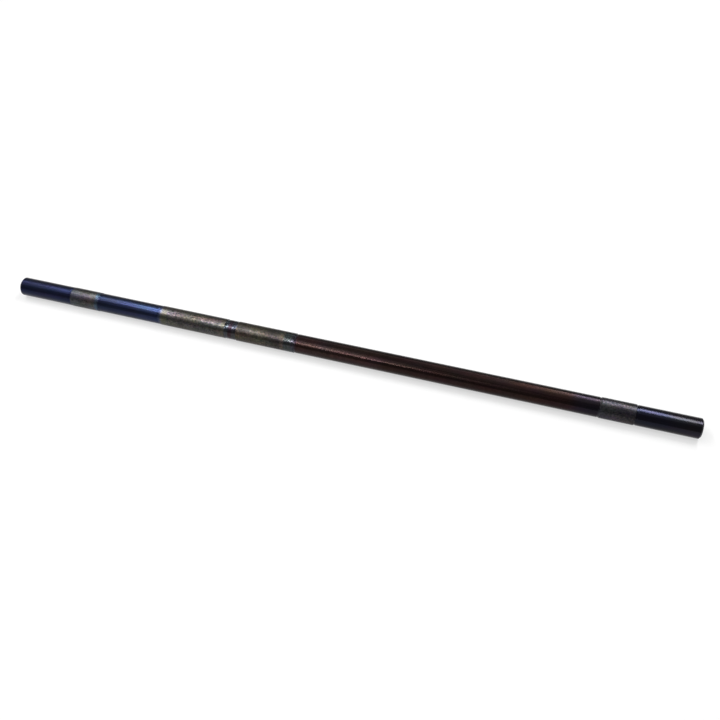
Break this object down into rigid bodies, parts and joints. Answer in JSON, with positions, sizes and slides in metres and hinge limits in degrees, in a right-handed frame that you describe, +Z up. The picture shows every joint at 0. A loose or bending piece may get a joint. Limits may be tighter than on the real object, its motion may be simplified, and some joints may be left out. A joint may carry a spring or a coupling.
{
  "type": "drive shaft",
  "caption": "Slim straight steel drive shaft with ground, hardened seats for bearings and gears, narrow undercuts beside them and chamfered ends.",
  "frame": {"origin": "the middle of the shaft's length, on its axis", "axes": "+X along the shaft, from the end nearer the gear seats to the other end; +Z up, and any turn about X is the same"},
  "size_m": [0.426, 0.012, 0.012],
  "materials": {
    "blued_steel": "satin, heat-coloured"
  },
  "bodies": {
    "root": {"drive_shaft": "blued_steel"}
  },
  "joints": []
}
